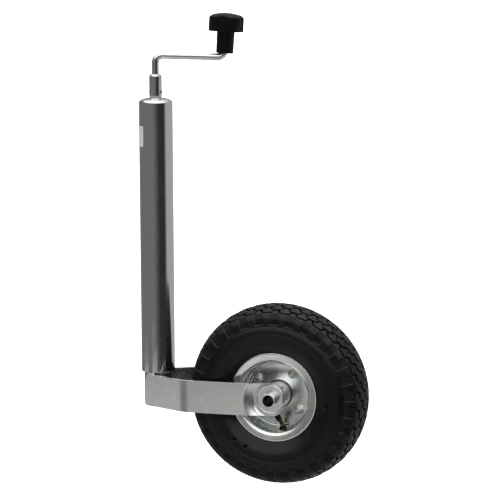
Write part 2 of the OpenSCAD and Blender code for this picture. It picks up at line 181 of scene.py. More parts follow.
def add_piece(name, points, faces, body, material, sharp=32, matrix=None, recess_shade=None):
    """A smooth piece from points in millimetres, riding on a CAD body; the last argument, if given, holds a
    painted shade value for each point, lower in recesses.
    """
    points = np.asarray(points, float).reshape(-1, 3)
    if matrix is not None:
        turn = np.array(matrix)
        points = points @ turn[:3, :3].T + turn[:3, 3]
        if np.linalg.det(turn[:3, :3]) < 0:
            faces = [tuple(reversed(face)) for face in faces]
    mesh = bpy.data.meshes.new(name)
    mesh.from_pydata((points * MM).tolist(), [], [tuple(int(i) for i in face) for face in faces])
    if recess_shade is not None:
        # painted shade: stored as a mesh attribute that the tyre's material reads to darken recesses
        mesh.attributes.new("recess_shade", "FLOAT", "POINT").data.foreach_set("value", np.ravel(recess_shade).tolist())
    shape = bmesh.new()
    shape.from_mesh(mesh)
    bmesh.ops.remove_doubles(shape, verts=shape.verts, dist=0.01 * MM)
    bmesh.ops.recalc_face_normals(shape, faces=shape.faces)
    shape.to_mesh(mesh)
    shape.free()
    mesh.polygons.foreach_set("use_smooth", [True] * len(mesh.polygons))
    mesh.set_sharp_from_angle(angle=math.radians(sharp))
    mesh.update()
    piece = bpy.data.objects.new(name, mesh)
    bpy.context.scene.collection.objects.link(piece)
    mesh.materials.append(material)
    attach(piece, body)
    return piece


def add_skin(name, part, body, slot, node, sharp=32, matrix=None, recess_shade=None):
    """A piece in the finish of its material slot, shown in place of a CAD node if one is named."""
    points, faces = part
    piece = add_piece(name, points, faces, body, LOOKS[slot], sharp, matrix, recess_shade)
    if node:
        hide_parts(node)
    return piece


def grid_faces(rows, cols, wrap_rows=False, wrap_cols=False, first=0):
    """Quads over a grid of rows x cols points."""
    row = np.arange(rows if wrap_rows else rows - 1)
    col = np.arange(cols if wrap_cols else cols - 1)
    row, col = np.meshgrid(row, col, indexing="ij")
    next_row = (row + 1) % rows
    next_col = (col + 1) % cols
    quads = [row * cols + col, row * cols + next_col, next_row * cols + next_col, next_row * cols + col]
    return (np.stack(quads, -1).reshape(-1, 4) + first).tolist()


def join_parts(parts):
    """Several (points, faces) as one."""
    points = []
    faces = []
    for part_points, part_faces in parts:
        start = len(points)
        points += [tuple(p) for p in np.asarray(part_points, float).reshape(-1, 3)]
        faces += [tuple(int(i) + start for i in face) for face in part_faces]
    return points, faces


def moved(part, matrix):
    """A (points, faces) pair put in place by a matrix."""
    points, faces = part
    turn = np.array(matrix)
    points = np.asarray(points, float).reshape(-1, 3) @ turn[:3, :3].T + turn[:3, 3]
    if np.linalg.det(turn[:3, :3]) < 0:
        faces = [tuple(reversed(face)) for face in faces]
    return points, faces


def rounded(outline, radius, steps=4):
    """A closed outline with each corner replaced by an arc; radius is one number or one per corner."""
    count = len(outline)
    radii = radius if isinstance(radius, (list, tuple)) else [radius] * count
    smooth = []
    for i in range(count):
        corner = Vector(outline[i])
        before = Vector(outline[i - 1]) - corner
        after = Vector(outline[(i + 1) % count]) - corner
        if radii[i] <= 0 or before.length < 1e-9 or after.length < 1e-9:
            smooth.append(tuple(corner))
            continue
        half = before.angle(after) / 2
        if half > math.radians(89):
            smooth.append(tuple(corner))
            continue
        reach = min(radii[i] / math.tan(half), before.length * 0.49, after.length * 0.49)
        start = corner + before.normalized() * reach
        end = corner + after.normalized() * reach
        arc_r = reach * math.tan(half)
        middle = corner + (before.normalized() + after.normalized()).normalized() * (arc_r / math.sin(half))
        first = start - middle
        last = end - middle
        sweep = first.angle(last)
        for k in range(steps + 1):
            share = k / steps
            weight_1 = math.sin((1 - share) * sweep) / math.sin(sweep)
            weight_2 = math.sin(share * sweep) / math.sin(sweep)
            smooth.append(tuple(middle + first * weight_1 + last * weight_2))
    return smooth


def revolve(section, steps=128):
    """A closed section of (radius, height) turned once about +Z."""
    section = np.array(section, float)
    turn = np.linspace(0, 2 * math.pi, steps, endpoint=False)
    radius = section[:, 0][None, :]
    points = np.stack([
        radius * np.cos(turn)[:, None],
        radius * np.sin(turn)[:, None],
        np.broadcast_to(section[:, 1][None, :], (steps, len(section))),
    ], -1)
    return points.reshape(-1, 3), grid_faces(steps, len(section), True, True)


def stacked(rings, closed_start=True, closed_end=True):
    """Rings of equally many points, each (n, 3), skinned one to the next, with flat ends."""
    rings = np.array(rings, float)
    rows, cols = rings.shape[:2]
    points = rings.reshape(-1, 3)
    faces = grid_faces(rows, cols, False, True)
    if closed_start:
        faces.append(list(range(cols)))
    if closed_end:
        faces.append([rows * cols - 1 - i for i in range(cols)])
    return points, faces


def split_ring(rings):
    """A tube open along one slot. Each ring runs round the outside and back round the inside."""
    rows = len(rings)
    cols = len(rings[0])
    faces = grid_faces(rows, cols, False, True)
    for start in (0, (rows - 1) * cols):
        for i in range(cols // 2 - 1):
            faces.append((start + i, start + i + 1, start + cols - 2 - i, start + cols - 1 - i))
    return np.array(rings).reshape(-1, 3), faces


def sweep(path, radii, sides=48):
    """A round rod along a path of points, with a radius at each point."""
    path = np.array(path, float)
    ahead = np.gradient(path, axis=0)
    ahead /= np.linalg.norm(ahead, axis=1)[:, None]
    side = np.cross(ahead[0], [0, 1, 0])
    if np.linalg.norm(side) < 0.1:
        side = np.cross(ahead[0], [1, 0, 0])
    rings = []
    turn = np.linspace(0, 2 * math.pi, sides, endpoint=False)
    for point, forward, radius in zip(path, ahead, radii):
        side = side - forward * (side @ forward)
        side /= np.linalg.norm(side)
        up = np.cross(forward, side)
        rings.append(point + radius * (np.cos(turn)[:, None] * side + np.sin(turn)[:, None] * up))
    return stacked(rings)


def arc_points(middle, radius, start, end, steps):
    """Points of an arc in a plane, by angles in degrees."""
    turns = np.radians(np.linspace(start, end, steps))
    return [(middle[0] + radius * math.cos(t), middle[1] + radius * math.sin(t)) for t in turns]


def line_length(line):
    """The distance along a line of points at each of them."""
    return np.concatenate([[0], np.cumsum(np.linalg.norm(np.diff(line, axis=0), axis=1))])


def even_line(line, count):
    """The same line as count points at an even spacing."""
    line = np.array(line, float)
    length = line_length(line)
    even = np.linspace(0, length[-1], count)
    return np.stack([np.interp(even, length, line[:, axis]) for axis in range(line.shape[1])], 1)


def smooth_line(points, spacing):
    """A soft curve through points of a plane, cut at an even spacing."""
    points = np.array(points, float)
    padded = np.vstack([2 * points[0] - points[1], points, 2 * points[-1] - points[-2]])
    fine = []
    for i in range(1, len(padded) - 2):
        p0, p1, p2, p3 = padded[i - 1:i + 3]
        for t in np.linspace(0, 1, 12, endpoint=False):
            fine.append(0.5 * (
                2 * p1 + (p2 - p0) * t + (2 * p0 - 5 * p1 + 4 * p2 - p3) * t * t
                + (3 * p1 - p0 - 3 * p2 + p3) * t ** 3
            ))
    fine.append(points[-1])
    return even_line(fine, max(2, int(round(line_length(np.array(fine))[-1] / spacing)) + 1))


def smoothstep(value, low, high):
    """0 below low, 1 above high and a soft ramp between."""
    share = np.clip((value - low) / (high - low), 0, 1)
    return share * share * (3 - 2 * share)


# ---------- material helpers ----------

class Surface:
    """A principled material with small helpers that add and link nodes."""

    def __init__(self, name, color, metallic, roughness, **sockets):
        self.material = bpy.data.materials.new(name)
        self.material.use_nodes = True
        self.nodes = self.material.node_tree.nodes
        self.links = self.material.node_tree.links
        self.shader = self.nodes["Principled BSDF"]
        self.set("Base Color", (*color, 1))
        self.set("Metallic", metallic)
        self.set("Roughness", roughness)
        for socket, value in sockets.items():
            self.set(socket.replace("_", " ").title().replace("Ior", "IOR"), value)
        self.coords = self.nodes.new("ShaderNodeTexCoord").outputs["Object"]
        self.height = None

    def set(self, socket, value):
        self.shader.inputs[socket].default_value = value

    def noise(self, size, detail=3.0, rough=0.55, stretch=(1, 1, 1), distortion=0.0):
        """Noise whose grains are about size millimetres, longer where stretch is over 1."""
        mapping = self.nodes.new("ShaderNodeMapping")
        mapping.inputs["Scale"].default_value = [1 / s for s in stretch]
        self.links.new(self.coords, mapping.inputs["Vector"])
        node = self.nodes.new("ShaderNodeTexNoise")
        node.inputs["Scale"].default_value = 1 / (size * MM)
        node.inputs["Detail"].default_value = detail
        node.inputs["Roughness"].default_value = rough
        node.inputs["Distortion"].default_value = distortion
        self.links.new(mapping.outputs["Vector"], node.inputs["Vector"])
        return node.outputs["Fac"]

    def ramp(self, source, stops):
        """A colour ramp over source; stops are (place, colour)."""
        node = self.nodes.new("ShaderNodeValToRGB")
        ramp = node.color_ramp
        while len(ramp.elements) < len(stops):
            ramp.elements.new(0.5)
        for element, (place, color) in zip(ramp.elements, stops):
            element.position = place
            element.color = (*color, 1)
        self.links.new(source, node.inputs["Fac"])
        return node.outputs["Color"]

    def spread(self, source, low, high, from_low=0.3, from_high=0.7):
        """source from from_low to from_high carried to low to high."""
        node = self.nodes.new("ShaderNodeMapRange")
        node.inputs["From Min"].default_value = from_low
        node.inputs["From Max"].default_value = from_high
        node.inputs["To Min"].default_value = low
        node.inputs["To Max"].default_value = high
        self.links.new(source, node.inputs["Value"])
        return node.outputs["Result"]

    def blend(self, share, first, second, kind="MIX"):
        """Two colours mixed by share."""
        node = self.nodes.new("ShaderNodeMix")
        node.data_type = "RGBA"
        node.blend_type = kind
        if isinstance(share, float):
            node.inputs["Factor"].default_value = share
        else:
            self.links.new(share, node.inputs["Factor"])
        self.links.new(first, node.inputs[6])
        self.links.new(second, node.inputs[7])
        return node.outputs[2]

    def color(self, source):
        self.links.new(source, self.shader.inputs["Base Color"])

    def roughness(self, source):
        self.links.new(source, self.shader.inputs["Roughness"])

    def bump(self, source, depth, strength=1.0):
        """A relief of depth millimetres, on top of any relief added before it."""
        node = self.nodes.new("ShaderNodeBump")
        node.inputs["Distance"].default_value = depth * MM
        node.inputs["Strength"].default_value = strength
        self.links.new(source, node.inputs["Height"])
        if self.height is not None:
            self.links.new(self.height, node.inputs["Normal"])
        self.height = node.outputs["Normal"]
        self.links.new(self.height, self.shader.inputs["Normal"])


# ---------- materials ----------

def plated_tube():
    """Bright zinc plate on drawn tube: fine drawing lines, a faint warm and cool bloom."""
    look = Surface("plated_tube", (0.72, 0.72, 0.71), 1.0, 0.13)
    bloom = look.noise(26, 3, 0.6, (1, 1, 3.2), 0.4)
    look.color(look.ramp(bloom, [
        (0.3, (0.74, 0.71, 0.66)), (0.5, (0.72, 0.72, 0.72)), (0.7, (0.66, 0.70, 0.76)),
    ]))
    lines = look.noise(0.9, 2, 0.5, (1, 1, 60))
    haze = look.noise(9, 4, 0.65, (1, 1, 4))
    look.roughness(look.spread(haze, 0.09, 0.2))
    look.bump(lines, 0.006, 0.5)
    look.bump(look.noise(14, 2, 0.5, (1, 1, 2.5)), 0.05, 0.35)
    return look.material


def satin_zinc(name, warm, cool, low, high, size=7.0):
    """Electroplated pressed steel: a soft warm and cool bloom, faint flecks and fine pitting."""
    look = Surface(name, warm, 1.0, (low + high) / 2)
    cloud = look.noise(size * 5, 2, 0.45, distortion=0.3)
    bloom = look.ramp(cloud, [(0.32, warm), (0.68, cool)])
    flecks = look.ramp(look.noise(size / 6, 4, 0.6), [(0.3, (0.985, 0.985, 0.985)), (0.62, (1, 1, 1))])
    look.color(look.blend(1.0, bloom, flecks, "MULTIPLY"))
    look.roughness(look.spread(look.noise(size, 3, 0.5), low, high))
    look.bump(look.noise(0.8, 2, 0.5), 0.001, 0.15)
    look.bump(look.noise(size * 4, 1, 0.3), 0.05, 0.2)
    return look.material


def bright_steel(name, color, low, high, grain=(1, 1, 1)):
    """Turned or ground steel with fine tool marks."""
    look = Surface(name, color, 1.0, (low + high) / 2)
    tone = look.noise(5, 3, 0.6, grain)
    darker = tuple(c * 0.82 for c in color)
    look.color(look.ramp(tone, [(0.3, darker), (0.6, color)]))
    look.roughness(look.spread(look.noise(1.5, 4, 0.6, grain), low, high))
    look.bump(look.noise(0.35, 2, 0.5, grain), 0.008, 0.5)
    return look.material


def nylon():
    look = Surface("nylon", (0.62, 0.6, 0.55), 0.0, 0.45, subsurface_weight=0.1)
    look.color(look.ramp(look.noise(6), [(0.3, (0.56, 0.54, 0.48)), (0.7, (0.68, 0.66, 0.6))]))
    look.roughness(look.spread(look.noise(1.2), 0.36, 0.52))
    look.bump(look.noise(0.5), 0.02, 0.4)
    return look.material


def black_plastic():
    """Moulded black plastic with a fine spark-eroded grain."""
    look = Surface("black_plastic", (0.006, 0.006, 0.007), 0.0, 0.34, specular_ior_level=0.14)
    tone = look.noise(11, 3, 0.6)
    look.color(look.ramp(tone, [(0.3, (0.003, 0.003, 0.004)), (0.7, (0.0055, 0.005, 0.0055))]))
    look.roughness(look.spread(look.noise(3, 4, 0.7), 0.3, 0.46))
    look.bump(look.noise(0.45, 3, 0.6), 0.03, 0.5)
    look.bump(look.noise(5, 2, 0.5), 0.06, 0.25)
    return look.material


def tyre_rubber():
    """Moulded rubber: dusty bloom in broad patches, fine grain, and painted shade that darkens it where it
    is recessed.
    """
    look = Surface("tyre_rubber", (0.005, 0.005, 0.0055), 0.0, 0.5, specular_ior_level=0.3)
    patches = look.noise(24, 5, 0.62, distortion=0.5)
    dust = look.noise(2.2, 4, 0.7)
    base = look.ramp(patches, [(0.3, (0.0007, 0.0006, 0.0007)), (0.7, (0.0018, 0.0014, 0.0012))])
    specks = look.ramp(dust, [(0.35, (0.8, 0.8, 0.8)), (0.75, (1.3, 1.28, 1.25))])
    # painted shade: a per-point attribute, lower in grooves, lug recesses and pits, darkens the colour down
    # to about a third there; it also lowers the specular level there to dim reflections
    recess_shade_node = look.nodes.new("ShaderNodeAttribute")
    recess_shade_node.attribute_name = "recess_shade"
    recess_shade = look.ramp(recess_shade_node.outputs["Fac"], [(0.0, (0.3, 0.3, 0.32)), (0.9, (1, 1, 1))])
    look.color(look.blend(1.0, look.blend(1.0, base, specks, "MULTIPLY"), recess_shade, "MULTIPLY"))
    gloss = look.spread(recess_shade_node.outputs["Fac"], 0.1, 0.3, 0.0, 0.8)
    look.links.new(gloss, look.shader.inputs["Specular IOR Level"])
    look.roughness(look.spread(patches, 0.3, 0.42))
    look.bump(look.noise(0.8, 4, 0.65), 0.07, 0.5)
    look.bump(look.noise(6, 3, 0.5), 0.12, 0.3)
    return look.material


def tube_rubber():
    look = Surface("tube_rubber", (0.02, 0.02, 0.021), 0.0, 0.6)
    look.color(look.ramp(look.noise(8), [(0.3, (0.016, 0.016, 0.017)), (0.7, (0.03, 0.029, 0.029))]))
    look.bump(look.noise(1.0), 0.05, 0.5)
    return look.material


def brass(name, dark, light):
    look = Surface(name, light, 1.0, 0.3)
    look.color(look.ramp(look.noise(2.5, 4, 0.6), [(0.3, dark), (0.65, light)]))
    look.roughness(look.spread(look.noise(1.2), 0.22, 0.42))
    look.bump(look.noise(0.4), 0.01, 0.5)
    return look.material


def label_paper():
    look = Surface("label_paper", (0.8, 0.8, 0.78), 0.0, 0.4)
    look.color(look.ramp(look.noise(4, 4), [(0.3, (0.74, 0.74, 0.73)), (0.6, (0.84, 0.84, 0.83))]))
    look.roughness(look.spread(look.noise(2), 0.3, 0.5))
    look.bump(look.noise(3, 2), 0.03, 0.4)
    return look.material


LOOKS = {
    "tube_chrome": plated_tube(),
    "zinc_arm": satin_zinc("zinc_arm", (0.80, 0.79, 0.76), (0.74, 0.76, 0.79), 0.22, 0.3),
    "zinc_rim": satin_zinc("zinc_rim", (0.80, 0.80, 0.75), (0.74, 0.77, 0.77), 0.2, 0.28),
    "zinc_bright": bright_steel("zinc_bright", (0.74, 0.74, 0.73), 0.12, 0.22),
    "zinc_fastener": bright_steel("zinc_fastener", (0.68, 0.68, 0.66), 0.22, 0.36),
    "steel_inner": bright_steel("steel_inner", (0.5, 0.47, 0.43), 0.22, 0.4, (1, 1, 30)),
    "spring_steel": bright_steel("spring_steel", (0.16, 0.15, 0.14), 0.28, 0.45),
    "bearing_steel": bright_steel("bearing_steel", (0.6, 0.61, 0.62), 0.15, 0.28),
    "bronze": brass("bronze", (0.36, 0.2, 0.08), (0.55, 0.34, 0.15)),
    "nylon": nylon(),
    "black_plastic": black_plastic(),
    "tyre_rubber": tyre_rubber(),
    "tube_rubber": tube_rubber(),
    "valve_brass": brass("valve_brass", (0.05, 0.032, 0.012), (0.2, 0.13, 0.05)),
    "valve_black": black_plastic(),
}


# ---------- outer tube ----------

def dome_arc(shrink):
    """The rounded end's skin from the tube's side to the spindle's hole, shrink inside the outer face."""
    crown = (TUBE_R ** 2 + DOME_H ** 2 - 2 * TUBE_R * DOME_KNUCKLE) / (2 * (DOME_H - DOME_KNUCKLE))
    join = math.degrees(math.atan2(crown - DOME_H, TUBE_R - DOME_KNUCKLE))
    hole = math.degrees(math.acos(DOME_HOLE_R / (crown - shrink)))
    knuckle = arc_points((TUBE_R - DOME_KNUCKLE, TUBE_TOP), DOME_KNUCKLE - shrink, 0, join, 14)
    top = arc_points((0, TUBE_TOP + DOME_H - crown), crown - shrink, join, hole, 14)
    return knuckle + top[1:]


def build_outer_tube():
    edge = 0.5
    inner_r = TUBE_R - TUBE_WALL
    section = (
        [(inner_r + edge, TUBE_BOTTOM), (TUBE_R - edge, TUBE_BOTTOM), (TUBE_R, TUBE_BOTTOM + edge)]
        + dome_arc(0) + dome_arc(TUBE_WALL)[::-1] + [(inner_r, TUBE_BOTTOM + edge)]
    )
    add_skin("outer_tube_skin", revolve(section, 192), "clamped_tube", "tube_chrome", "outer_tube", 40)


def build_label():
    """A blank paper label stuck part of the way round the tube."""
    low_z = 130.5
    high_z = 159.5
    first_turn = math.radians(140)
    last_turn = math.radians(242)
    cols = 40
    rows = 16
    lift = 0.12
    turns = np.linspace(first_turn, last_turn, cols)
    heights = np.linspace(low_z, high_z, rows)
    height, turn = np.meshgrid(heights, turns, indexing="ij")
    corner = smoothstep(turn, last_turn - 0.2, last_turn) * smoothstep(-height, -low_z - 7, -low_z)
    skins = []
    for gap in (lift, 0.01):
        radius = TUBE_R + gap + 0.7 * corner
        skins.append(np.stack([radius * np.cos(turn), radius * np.sin(turn), height], -1))
    top = grid_faces(rows, cols)
    bottom = [tuple(reversed(face)) for face in grid_faces(rows, cols, first=rows * cols)]
    points = np.concatenate([skin.reshape(-1, 3) for skin in skins])
    count = rows * cols
    rim = [i for i in range(cols)]
    rim += [r * cols + cols - 1 for r in range(1, rows)]
    rim += [(rows - 1) * cols + c for c in range(cols - 2, -1, -1)]
    rim += [r * cols for r in range(rows - 2, 0, -1)]
    sides = [(a + count, b + count, b, a) for a, b in zip(rim, rim[1:] + rim[:1])]
    add_piece("blank_label", points, top + bottom + sides, "clamped_tube", label_paper())


# ---------- crank ----------

def build_sleeve():
    edge = 3.6
    foot = 0.5
    spindle_r = 6
    shelf = SLEEVE_BASE + 17
    section = (
        [(spindle_r, SLEEVE_BASE), (SLEEVE_R - foot, SLEEVE_BASE), (SLEEVE_R, SLEEVE_BASE + foot)]
        + arc_points((SLEEVE_R - edge, SLEEVE_TOP - edge), edge, 0, 90, 9)
        + [(ROD_R, SLEEVE_TOP), (ROD_R, shelf), (spindle_r, shelf)]
    )
    add_skin("sleeve_skin", revolve(section, 96), "crank", "zinc_bright", "crank_sleeve")


def build_roll_pin():
    """A rolled spring pin: an open ring bent from strip, with chamfered ends."""
    half = 10
    chamfer = 0.6
    bore = 1.4
    gap = 9
    turns = np.radians(np.linspace(180 + gap, 540 - gap, 49))
    rings = []
    for x, trim in ((-half, chamfer), (chamfer - half, 0), (half - chamfer, 0), (half, chamfer)):
        outer = [(x, (PIN_R - trim) * math.cos(t), (PIN_R - trim) * math.sin(t)) for t in turns]
        inner = [(x, bore * math.cos(t), bore * math.sin(t)) for t in turns[::-1]]
        rings.append(outer + inner)
    place = Matrix.Rotation(math.radians(PIN_TURN), 4, "Z") @ Matrix.Translation((0, 0, PIN_Z))
    add_skin("roll_pin_skin", split_ring(rings), "crank", "spring_steel", "roll_pin", matrix=place)


def rod_path():
    """The crank rod's middle line in its own plane: (outwards, up), and where the handle pin starts."""
    slope = math.radians(ROD_SLOPE)
    lean = math.radians(ROD_LEAN)
    start = Vector((BEND_1_R * (1 + math.sin(slope)), BEND_1_Z + BEND_1_R * math.cos(slope)))
    run = (GRIP_REACH - BEND_2_R * (math.cos(lean) + math.sin(slope)) - start.x) / math.cos(slope)
    stop = start + run * Vector((math.cos(slope), -math.sin(slope)))
    middle = stop + BEND_2_R * Vector((math.sin(slope), math.cos(slope)))
    grip = middle + BEND_2_R * Vector((math.cos(lean), -math.sin(lean)))
    line = [(0, z) for z in np.linspace(ROD_BASE, BEND_1_Z - 0.5, 8)]
    line += arc_points((BEND_1_R, BEND_1_Z), BEND_1_R, 180, 90 - ROD_SLOPE, 24)
    line += [tuple(start.lerp(stop, t)) for t in np.linspace(0.02, 0.98, 12)]
    line += arc_points(tuple(middle), BEND_2_R, -90 - ROD_SLOPE, -ROD_LEAN, 20)
    up = Vector((math.sin(lean), math.cos(lean)))
    line += [tuple(grip + up * t) for t in np.linspace(1, GRIP_LEN, 8)]
    return line, grip


ROD_LINE, GRIP_START = rod_path()
GRIP_FRAME = (
    Matrix.Rotation(math.radians(ROD_TURN), 4, "Z")
    @ Matrix.Translation((GRIP_START.x, 0, GRIP_START.y))
    @ Matrix.Rotation(math.radians(ROD_LEAN), 4, "Y")
)


def build_rod():
    turn = math.radians(ROD_TURN)
    path = [(x * math.cos(turn), x * math.sin(turn), z) for x, z in ROD_LINE]
    rod = sweep(path, [ROD_R] * len(path))
    add_skin("crank_rod_skin", rod, "crank", "zinc_bright", "crank_rod")


# ---------- knob ----------

def knob_outline(turns, inset):
    """Radius of the four-fluted head at each angle, inset from its edge, with rounded lobes."""
    flute_mid = KNOB_R - FLUTE_DEPTH + FLUTE_R
    soft = 1.6

    def outside(radius):
        x = radius * np.cos(turns)
        y = radius * np.sin(turns)
        distance = radius - KNOB_R
        for i in range(4):
            a = math.pi / 2 * i
            cut = FLUTE_R - np.hypot(x - flute_mid * math.cos(a), y - flute_mid * math.sin(a))
            mix = np.clip(0.5 + 0.5 * (cut - distance) / soft, 0, 1)
            distance = distance + (cut - distance) * mix + soft * mix * (1 - mix)
        return distance + inset

    low = np.full(len(turns), 5.0)
    high = np.full(len(turns), KNOB_R + 1.0)
    for _ in range(30):
        middle = (low + high) / 2
        is_out = outside(middle) > 0
        high = np.where(is_out, middle, high)
        low = np.where(is_out, low, middle)
    return (low + high) / 2


def build_knob():
    """Star knob: a stem with a recess for the rod, and a fluted head with a domed top."""
    cols = 288
    turns = np.linspace(0, 2 * math.pi, cols, endpoint=False)
    head = STEM_LEN
    dome_r = (KNOB_R ** 2 + KNOB_DOME ** 2) / (2 * KNOB_DOME)
    dome_z = head + KNOB_EDGE + KNOB_DOME - dome_r
    edge = 2.8
    foot = 1.0
    circle = np.ones(cols)
    rings = []

    def ring(radius, height):
        height = np.broadcast_to(height, (cols,))
        rings.append(np.stack([radius * np.cos(turns), radius * np.sin(turns), height], -1))

    for radius, height in ((5.1, 4.7), (8.2, 4.8), (8.2, 0.5), (8.6, 0), (STEM_R - 1, 0)):
        ring(radius * circle, height)
    for a in np.radians([-60, -30, 0]):
        ring((STEM_R - 1 + 0.8 * math.cos(a)) * circle, 0.8 + 0.8 * math.sin(a))
    ring((STEM_R + 0.2) * circle, head - 1.2)
    ring((STEM_R + 0.5) * circle, head - 0.3)
    under = knob_outline(turns, foot)
    for share in (0.15, 0.5, 0.85, 1):
        ring((STEM_R + 1) * (1 - share) + under * share, head)
    for a in np.radians([-60, -30, 0]):
        ring(knob_outline(turns, foot * (1 - math.cos(a))), head + foot * (1 + math.sin(a)))
    rim = knob_outline(turns, 0)
    rim_z = dome_z + np.sqrt(dome_r ** 2 - rim ** 2)
    for share in (0.33, 0.66):
        ring(rim, head + foot + (rim_z - edge - head - foot) * share)
    for a in np.radians(np.linspace(0, 72, 9)):
        inset = edge * (1 - math.cos(a))
        ring(knob_outline(turns, inset), rim_z - edge + edge * math.sin(a))
    shoulder = knob_outline(turns, edge * (1 - math.cos(math.radians(72))) + 1.2)
    for share in (1, 0.92, 0.8, 0.62, 0.4, 0.2, 0.05):
        radius = shoulder * share
        ring(radius, dome_z + np.sqrt(dome_r ** 2 - radius ** 2))
    place = (
        GRIP_FRAME
        @ Matrix.Rotation(math.radians(KNOB_TURN - ROD_TURN), 4, "Z")
        @ Matrix.Translation((0, 0, -GRIP_DROP))
    )
    add_skin("knob_skin", stacked(rings), "crank_knob", "black_plastic", "knob", 50, place)


# ---------- inner tube ----------

def build_inner_tube():
    edge = 0.6
    low = inner_low.z
    high = inner_high.z
    inside = INNER_R - INNER_WALL
    section = rounded([(inside, low), (INNER_R, low), (INNER_R, high), (inside, high)], edge, 3)
    add_skin("inner_tube_skin", revolve(section, 128), "fork", "steel_inner", "inner_tube")


# ---------- fork ----------

def seat_drop(radius):
    """How far the dished seat lies inside the arm's face, at a distance from the axle."""
    wall = 1 - smoothstep(radius, SEAT_R - 0.5, SEAT_STEP_R + 0.5)
    slope = 1 - smoothstep(radius, SEAT_STEP_R - 2, SEAT_OUT_R + 1)
    return (SEAT_DEPTH - SEAT_STEP) * wall + SEAT_STEP * slope


def arm_plan():
    """The strip's middle line in plan, from its wrapped root to the seat: x from the axle, y outwards."""
    mid_in = INNER_R + ARM_T / 2
    mid_out = ARM_OUT - ARM_T / 2
    turn = math.acos(mid_in / math.hypot(ARM_BEND, mid_out)) - math.atan2(ARM_BEND, mid_out)
    reach = ARM_BEND_R * math.tan(turn / 2)
    bend_mid = (ARM_BEND - AXLE.x + reach, mid_out - ARM_BEND_R)
    turn = math.degrees(turn)
    line = arc_points((-AXLE.x, 0), mid_in, 90 + ARM_WRAP, 90 + turn, 20)
    line += arc_points(bend_mid, ARM_BEND_R, 90 + turn, 90, 60)
    line.append((-SEAT_OUT_R - 6, mid_out))
    spacing = 1.3
    return even_line(line, int(line_length(np.array(line))[-1] / spacing))


def arm_outline():
    """Points round the arm's end as seen from the side, from the top of the strip to its bottom."""
    left = -SEAT_OUT_R - 6
    flat = ARM_END - ARM_CORNER
    half = ARM_H / 2
    top = [(x, half) for x in np.linspace(left, flat, 40)[1:]]
    corner_mid = half - ARM_CORNER
    top += arc_points((flat, corner_mid), ARM_CORNER, 90, 0, 14)[1:]
    end = [(ARM_END, z) for z in np.linspace(corner_mid, -corner_mid, 14)[1:-1]]
    bottom = [(x, -z) for x, z in reversed(top)]
    return top + end + bottom


def arm_part():
    """One bent arm with its dished, drilled seat, built outwards along +Y in the tilted frame."""
    path = arm_plan()
    levels = np.linspace(ARM_H / 2, -ARM_H / 2, 24)
    notch = ARM_NOTCH * (1 - smoothstep(path[:, 0] + AXLE.x, -11.5, -8.5))
    heights = ARM_H / 2 - notch[:, None] - (ARM_H - notch)[:, None] * np.linspace(0, 1, 24)
    ahead = np.gradient(path, axis=0)
    ahead /= np.linalg.norm(ahead, axis=1)[:, None]
    outwards = np.stack([-ahead[:, 1], ahead[:, 0]], 1)
    strip = []
    for side in (1, -1):
        skin = path + outwards * side * ARM_T / 2
        strip.append([[(x, y, z) for z in column] for (x, y), column in zip(skin, heights)])
    rows = len(path)
    cols = len(levels)
    strip_points = np.array(strip).reshape(-1, 3)
    front = grid_faces(rows, cols)
    back = [tuple(reversed(f)) for f in grid_faces(rows, cols, first=rows * cols)]
    count = rows * cols
    edges = []
    for r in range(rows - 1):
        for c in (0, cols - 1):
            a = r * cols + c
            b = (r + 1) * cols + c
            quad = (a, b, b + count, a + count)
            edges.append(quad if c == 0 else tuple(reversed(quad)))
    for c in range(cols - 1):
        edges.append((c + 1, c, c + count, c + 1 + count))
    left = path[-1][0]
    border = [(left, z) for z in levels[::-1]] + arm_outline()[:-1]
    shares = np.linspace(0, 1, 48)
    border = np.array(border)
    reach = np.linalg.norm(border, axis=1)
    turn = np.arctan2(border[:, 1], border[:, 0])
    skins = []
    for is_back in (False, True):
        rings = []
        for share in shares:
            radius = AXLE_R + (reach - AXLE_R) * share
            x = radius * np.cos(turn)
            z = radius * np.sin(turn)
            drop = seat_drop(radius - (1.5 if is_back else 0.0))
            y = ARM_OUT - drop - (ARM_T if is_back else 0)
            rings.append(np.stack([x, np.broadcast_to(y, x.shape), z], -1))
        skins.append(np.array(rings))
    ring_rows = len(shares)
    ring_cols = len(border)
    end_points = np.concatenate([skins[0].reshape(-1, 3), skins[1].reshape(-1, 3)])
    end_count = ring_rows * ring_cols
    end_faces = [tuple(reversed(f)) for f in grid_faces(ring_rows, ring_cols, False, True)]
    end_faces += [tuple(f) for f in grid_faces(ring_rows, ring_cols, False, True, end_count)]
    last = (ring_rows - 1) * ring_cols
    for c in range(ring_cols):
        d = (c + 1) % ring_cols
        end_faces.append((c, d, d + end_count, c + end_count))
        on_join = c < cols - 1
        if not on_join:
            end_faces.append((last + d, last + c, last + c + end_count, last + d + end_count))
    return join_parts([(strip_points, front + back + edges), (end_points, end_faces)])


def build_arms():
    for name, mirror in (("arm_near", FAR_SIDE), ("arm_far", Matrix.Identity(4))):
        part = moved(arm_part(), mirror)
        arm = add_skin(name + "_skin", part, "fork", "zinc_arm", name, 30, ARM_FRAME)
        soften_edges(arm, 1.0)


def soften_edges(piece, width, angle=38, segments=3):
    """A small round on every sharp edge, so that it catches light."""
    bevel = piece.modifiers.new("edges", "BEVEL")
    bevel.width = width * MM
    bevel.segments = segments
    bevel.limit_method = "ANGLE"
    bevel.angle_limit = math.radians(angle)
    bevel.harden_normals = False


def bead(line, radius, ripples):
    """A weld bead along a line of points, with the ripples of its runs."""
    stations = 60
    total = line_length(np.array(line, float))[-1]
    radii = []
    for place in np.linspace(0, total, stations):
        end = min(place, total - place)
        dome = math.sqrt(max(0.0, 1 - max(0.0, 1 - end / radius) ** 2))
        phase = (place / total * ripples) % 1
        radii.append(max(0.15, radius * dome * (0.86 + 0.14 * math.sin(math.pi * phase) ** 0.6)))
    return sweep(even_line(line, stations), radii, 20)


